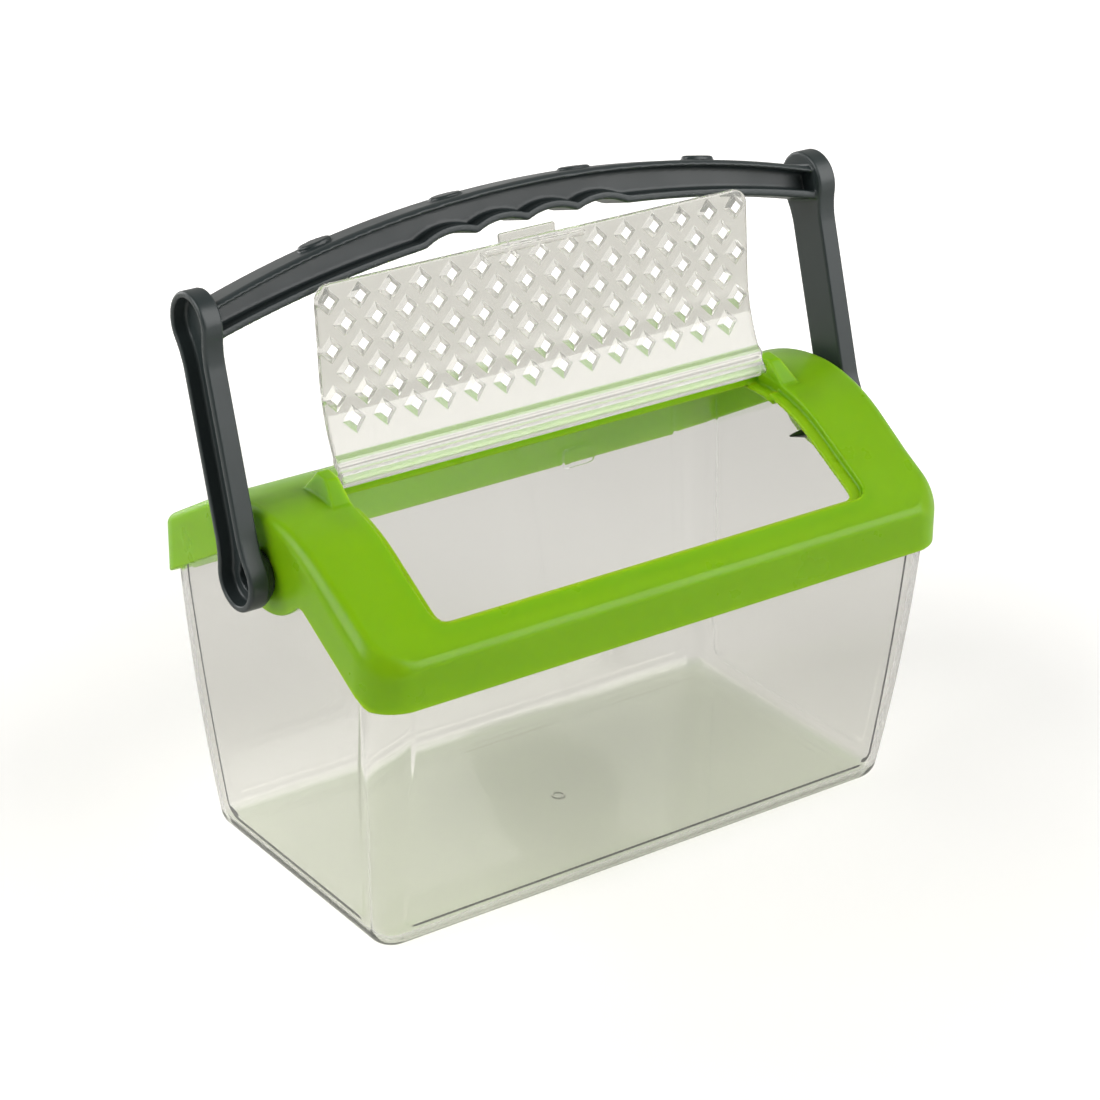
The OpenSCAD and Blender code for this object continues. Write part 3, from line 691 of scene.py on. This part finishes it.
def outside_rows(ring):
    """Rings from under the floor, close at the panel's step, out and up the walls."""
    rows = [ring(0.3, inset) for inset in (14.0, 9.6, 9.3, 9.0, 8.7, 8.4, 7.2)]
    for angle in np.radians(np.linspace(0.0, 90.0, 12)):
        rows.append(ring(FOOT_ROLL * (1 - math.cos(angle)), FOOT_ROLL * (1 - math.sin(angle))))
    plain = (10.0, 14.0, 20.0, 28.0, 37.0, 46.0, 55.0, 64.0, 72.0, 80.0, 86.4, 91.0, EVEN_TOP)
    return rows + [ring(z, 0.0) for z in plain]


def rim_rows(ring):
    """Rings up to the rim's edge, which follows roof and notches, over it and down inside."""
    x, y = ring(100.0, 0.0)[:, :2].T
    sharp = roof_height(y, LID_WALL + TOP_GAP)
    away = np.abs(y - PIVOT_Y)
    in_notch = (away < NOTCH_R) & (np.abs(x) > RIM_X - NOTCH_DEPTH)
    notch = PIVOT_Z - np.sqrt(np.maximum(NOTCH_R ** 2 - away ** 2, 0.0))
    edge = np.where(in_notch, notch, sharp)
    roll = np.where(in_notch, 0.5, top_roll(x, y))
    most = np.arccos(1.0 - np.minimum(1.0, 1.7 / roll))
    low = edge - roll
    rows = [ring(EVEN_TOP + (low - EVEN_TOP) * share, 0.0) for share in (0.3, 0.6, 0.85, 1.0)]
    for share in np.linspace(0.0, 1.0, 8)[1:]:
        rows.append(ring(low + roll * np.sin(share * most), roll * (1 - np.cos(share * most))))
    inner_low = low + roll * np.sin(most) - 0.3
    rows += [ring(inner_low + 0.25, 1.85), ring(inner_low, TUB_WALL)]
    return rows + [ring(EVEN_TOP + (inner_low - EVEN_TOP) * share, TUB_WALL)
                   for share in (0.8, 0.5, 0.2)]


def inside_rows(ring):
    """Rings down inside, close at the lugs and the fields' lower edges, and over the floor."""
    lug = [LUG_Z + side * LUG_H / 2 + d for side in (1, -1) for d in (0.6, 0.2, -0.2, -0.6)]
    plain = [94.0, 88.0, 86.0, 84.0, 76.0, 68.0, 60.0, 50.0, 40.0, 30.0, 22.0, 17.0, 14.0]
    fine = [12.5 - 0.4 * step for step in range(17)]
    bottom = INNER_ROLL
    centre = TUB_FLOOR + bottom
    rows = []
    for z in sorted(plain + lug + fine, reverse=True):
        sunk = max(centre - z, 0.0)
        rows.append(ring(z, TUB_WALL + bottom - math.sqrt(bottom ** 2 - sunk ** 2)))
    for angle in np.radians(np.linspace(30.0, 90.0, 8)):
        rows.append(ring(centre - bottom * math.sin(angle),
                         TUB_WALL + bottom * (1 - math.cos(angle))))
    return rows + [ring(TUB_FLOOR, inset) for inset in (8.5, 11.0, 20.0)]


def gate_rows(last):
    """Rings from the last one on the floor in to the gate mark, close at its edge."""
    rows = []
    angle = np.arctan2(last[:, 1] - GATE_Y, last[:, 0])
    for reach in (8.0, 4.0, 3.2, 2.9, 2.7, 2.5, 2.35, 2.2, 2.05, 1.9, 1.7, 1.5, 1.2, 0.5):
        rows.append(np.column_stack((reach * np.cos(angle), GATE_Y + reach * np.sin(angle),
                                     np.full(len(angle), TUB_FLOOR))))
    return rows


def tub_rows(front, back):
    """Rings from under the floor, out, up, over the rim, down inside and to the gate."""

    def ring(z, inset):
        return tub_ring(front, back, z, inset)

    rows = outside_rows(ring) + rim_rows(ring) + inside_rows(ring)
    return rows + gate_rows(rows[-1])


def roof_height(y, inset):
    """Height of the roof's surface, `inset` under the outer face."""
    r = CROWN_R - inset
    slope = CROWN_CZ + r / math.cos(ROOF) - math.tan(ROOF) * np.abs(y)
    crown = CROWN_CZ + np.sqrt(np.maximum(r ** 2 - y ** 2, 0.0))
    return np.where(np.abs(y) > r * math.sin(ROOF), slope, crown)


def lattice_piece(name, field, rows):
    """A mesh of rings joined in order, closed at both ends and settled on a field."""
    count = len(rows[0])
    points = settle(field, np.concatenate(rows), 0.4)
    column = np.arange(count)
    ahead = np.roll(column, -1)
    faces = []
    for row in range(len(rows) - 1):
        here, above = row * count, (row + 1) * count
        faces += np.stack((here + column, here + ahead, above + ahead, above + column),
                          1).tolist()
    faces.append(column[::-1].tolist())
    faces.append(((len(rows) - 1) * count + column).tolist())
    return field_piece(name, field, points, faces)


# --------------------------------------------------------------------- flap

FLAP_X, FLAP_FRONT, FLAP_REAR, FLAP_T, FLAP_CORNER_R = 78.1, 53.1, 1.3, 2.0, 5.0
FLAP_OPEN = math.radians(125.0)
ROLL_R, PIN_L = 2.0, 4.5
RIB_R, RIB_AWAY, RIB_SINK = 1.4, 5.0, 0.6
HOLE_PITCH, ROW_PITCH, FIRST_ROW, ROWS, ROW_HOLES = 10.54, 7.2, 5.5, 6, 15
# mesh cells, so that the holes' edges lie on them, and hole sizes in whole cells
CELL_X, CELL_S, CELL_D = HOLE_PITCH / 30, ROW_PITCH / 20, 0.3
MOUTH, BOTTOM = 24, 9
MOUTH_W, MOUTH_H, BOTTOM_W, BOTTOM_H = (cells * cell for cells in (MOUTH, BOTTOM)
                                        for cell in (CELL_X, CELL_S))
TAB_LEFT, TAB_RIGHT, TAB_LAP, TAB_ROOT = -13.45, 7.65, 2.4, 1.2
GROOVE_X, GROOVE_HALF, GROOVE_START, GROOVE_END, GROOVE_DEPTH = -1.0, 18.0, 1.7, 3.1, 0.9
MIDDLE_R = CROWN_R - FLAP_T / 2
FLAT_S = (FLAP_FRONT - MIDDLE_R * math.sin(ROOF)) / math.cos(ROOF)
HINGE_S = FLAT_S + MIDDLE_R * (ROOF - math.atan2(-HINGE_Y, HINGE_Z - CROWN_CZ))
HINGE_D = CROWN_R - HINGE_Z + CROWN_CZ
END_S = FLAT_S + MIDDLE_R * (ROOF + math.asin(FLAP_REAR / MIDDLE_R))


def hole_field(x, s, d):
    """Staggered four-sided holes that narrow from the outer face to the inner one."""
    deep = np.clip(d / FLAP_T, -0.5, 1.5)
    half_w = (MOUTH_W + (BOTTOM_W - MOUTH_W) * deep) / 2
    half_h = (MOUTH_H + (BOTTOM_H - MOUTH_H) * deep) / 2
    nearest = 1000.0
    for row in range(ROWS):
        half_step = 0.5 * (row % 2)
        most = (ROW_HOLES - 1) / 2 - half_step
        place = np.round(x / HOLE_PITCH - half_step) + half_step
        place = np.clip(place, -most, most) * HOLE_PITCH
        rise = np.abs(s - FIRST_ROW - row * ROW_PITCH)
        nearest = np.minimum(nearest, np.abs(x - place) / half_w + rise / half_h)
    return (nearest - 1.0) / np.sqrt(1.0 / half_w ** 2 + 1.0 / half_h ** 2) * 0.85


def long_box(u, v, u_low, u_high, v_low, v_high, r):
    """A box in two directions with its edges rounded."""
    across = np.abs(u - (u_low + u_high) / 2) - (u_high - u_low) / 2
    rise = np.abs(v - (v_low + v_high) / 2) - (v_high - v_low) / 2
    return round_max(across, rise, r)


def flap_field(x, s, up):
    """The flap laid flat: across, along from its free edge, and up from its outer face."""
    d, tail = -up, 20.0
    outline = plan(x, s - (END_S + tail) / 2, FLAP_X, (END_S + tail) / 2, FLAP_CORNER_R)
    outline = round_max(outline, s - END_S, 0.4)
    plate = round_max(outline, np.abs(d - FLAP_T / 2) - FLAP_T / 2, 0.7)
    groove = long_box(s, d, GROOVE_START, GROOVE_END, -2.0, GROOVE_DEPTH, 0.4)
    groove = round_max(groove, np.abs(x - GROOVE_X) - GROOVE_HALF, 0.7)
    plate = round_max(round_max(plate, -hole_field(x, s, d), 0.12), -groove, 0.3)
    end = np.abs(x) - FLAP_X
    rib = np.hypot(s - HINGE_S + RIB_AWAY, d - FLAP_T + RIB_SINK) - RIB_R
    plate = round_min(plate, round_max(rib, end, 0.6), 1.2)
    axis = np.hypot((s - HINGE_S) * (CROWN_R - HINGE_D) / MIDDLE_R, d - HINGE_D)
    roll = round_max(axis - ROLL_R, end, 0.9)
    web = long_box(s, d, HINGE_S - ROLL_R + 0.2, END_S, HINGE_D, FLAP_T / 2, 0.2)
    flap = round_min(plate, round_min(roll, round_max(web, end, 0.4), 0.2), 0.3)
    pin = round_max(axis - PIN_R, end - PIN_L, 0.4)
    flap = round_min(flap, pin, 0.2)
    tab_x = np.abs(x - (TAB_LEFT + TAB_RIGHT) / 2) - (TAB_RIGHT - TAB_LEFT) / 2
    tab = round_max(long_box(s, d, -TAB_LAP, TAB_ROOT, -1.5, -0.35, 0.45), tab_x, 1.2)
    root = round_max(long_box(s, d, 0.1, TAB_ROOT, -0.6, 0.6, 0.2), tab_x + 0.3, 0.3)
    return round_min(flap, round_min(tab, root, 0.2), 0.2)


def bend_and_open(points, normals):
    """Bends the flat flap to the roof's curve, and swings it to its open place."""
    x, s, up = points.T
    turn = ROOF - np.maximum(s - FLAT_S, 0.0) / MIDDLE_R
    run = np.maximum(FLAT_S - s, 0.0)
    y = -(CROWN_R + up) * np.sin(turn) - run * math.cos(ROOF) - HINGE_Y
    z = (CROWN_R + up) * np.cos(turn) - run * math.sin(ROOF) + CROWN_CZ - HINGE_Z
    placed = turn_x(np.stack((x, y, z), 1), -FLAP_OPEN)
    return placed + (0.0, HINGE_Y, HINGE_Z), turn_x(turn_x(normals, turn), -FLAP_OPEN)


# ------------------------------------------------------------------- pieces

def add_lid():
    lid = skin("lid_shell", lid_field, (-107, -65, 80), (107, 65, 136), 0.7)
    finish_piece(lid, green, "lid", "green_lid", "lid_frame")


def add_handle():
    handle = skin("handle_moulding", handle_field, (-117, -12, -12), (117, 12, 98), 0.7,
                  lean_back)
    finish_piece(handle, grey_plastic, "handle", "grey_handle", "carry_handle")


def add_tub():
    shares = (1.25, 1.03, 0.99, 0.94, 0.85, 0.7, 0.5, 0.25)
    front = quarter_columns([(-PIVOT_Y, share) for share in shares + (0.0,)])
    back = quarter_columns([(PIVOT_Y, share) for share in shares])
    tub = lattice_piece("tub_shell", tub_field, tub_rows(front, back))
    finish_piece(tub, clear_tub, "tub", "clear_tub", "tub")


def add_flap():
    low = (-240 * CELL_X, FIRST_ROW - 25 * CELL_S, -4.2)
    flap = skin("flap_grille", flap_field, low, (84.4, 62, 4.4), (CELL_X, CELL_S, CELL_D),
                bend_and_open)
    finish_piece(flap, clear_flap, "flap", "clear_flap", "vent_flap")


add_tub()
add_lid()
add_flap()
add_handle()


# ------------------------------------------------- floor, lights and camera

def add_floor():
    """A plain sheet of paper just under the foot."""
    size, drop = 6.0, -0.4 * MM
    mesh = bpy.data.meshes.new("floor")
    corners = [(x * size, y * size, drop) for x, y in ((-1, -1), (1, -1), (1, 1), (-1, 1))]
    mesh.from_pydata(corners, [], [(0, 1, 2, 3)])
    floor = bpy.data.objects.new("floor", mesh)
    bpy.context.scene.collection.objects.link(floor)
    mesh.materials.append(backdrop_paper())


def add_light(name, place, target, size, power):
    """A softbox that faces a target."""
    data = bpy.data.lights.new(name, "AREA")
    data.shape = "RECTANGLE"
    data.size, data.size_y = size
    data.energy = power
    light = bpy.data.objects.new(name, data)
    bpy.context.scene.collection.objects.link(light)
    light.location = place
    light.rotation_euler = (Vector(target) - Vector(place)).to_track_quat("-Z", "Y").to_euler()


def add_camera():
    """The camera that the photograph was taken with, fitted to the object's corners."""
    place = Vector((-527.5, -733.4, 511.6)) * MM
    yaw, pitch, roll = (math.radians(a) for a in (35.617, 25.159, 0.511))
    forward = Vector((math.sin(yaw) * math.cos(pitch), math.cos(yaw) * math.cos(pitch),
                      -math.sin(pitch)))
    right = Vector((math.cos(yaw), -math.sin(yaw), 0.0))
    up = right.cross(forward)
    across = right * math.cos(roll) + up * math.sin(roll)
    above = up * math.cos(roll) - right * math.sin(roll)
    data = bpy.data.cameras.new("camera")
    data.sensor_width, data.lens = 36.0, 106.40
    data.clip_start, data.clip_end = 0.01, 50.0
    camera = bpy.data.objects.new("camera", data)
    bpy.context.scene.collection.objects.link(camera)
    camera.matrix_world = Matrix((
        (across.x, above.x, -forward.x, place.x),
        (across.y, above.y, -forward.y, place.y),
        (across.z, above.z, -forward.z, place.z),
        (0.0, 0.0, 0.0, 1.0),
    ))
    bpy.context.scene.camera = camera


PALE_SIDE, PALE_FROM_TO = (0.5, 0.75, -0.3), (-0.5, 0.7)
ROOM_LOW_HIGH, ROOM_COLOUR = (0.08, 0.46), (1.0, 0.985, 0.95, 1.0)


def set_world():
    """A room that is pale behind the object, as a studio sweep is, and dim elsewhere."""
    world = bpy.data.worlds.new("soft_room")
    world.use_nodes = True
    nodes, links = world.node_tree.nodes, world.node_tree.links
    place = nodes.new("ShaderNodeTexCoord")
    behind = nodes.new("ShaderNodeVectorMath")
    behind.operation = "DOT_PRODUCT"
    behind.inputs[1].default_value = PALE_SIDE
    links.new(place.outputs["Generated"], behind.inputs[0])
    tone = nodes.new("ShaderNodeMapRange")
    tone.interpolation_type = "SMOOTHSTEP"
    tone.inputs["From Min"].default_value, tone.inputs["From Max"].default_value = PALE_FROM_TO
    tone.inputs["To Min"].default_value, tone.inputs["To Max"].default_value = ROOM_LOW_HIGH
    links.new(behind.outputs["Value"], tone.inputs["Value"])
    links.new(tone.outputs["Result"], nodes["Background"].inputs["Strength"])
    nodes["Background"].inputs["Color"].default_value = ROOM_COLOUR
    bpy.context.scene.world = world
    bpy.context.scene.view_settings.view_transform = "Standard"


add_floor()
set_world()
centre = (0.0, 0.0, 0.09)
add_light("softbox_right", (0.97, -1.28, 1.12), centre, (1.8, 1.8), 36.0)
add_light("softbox_left", (-1.35, 0.25, 1.2), centre, (1.3, 1.3), 23.0)
add_light("softbox_back", (-0.5, 1.5, 0.45), centre, (1.2, 1.0), 10.0)
add_camera()
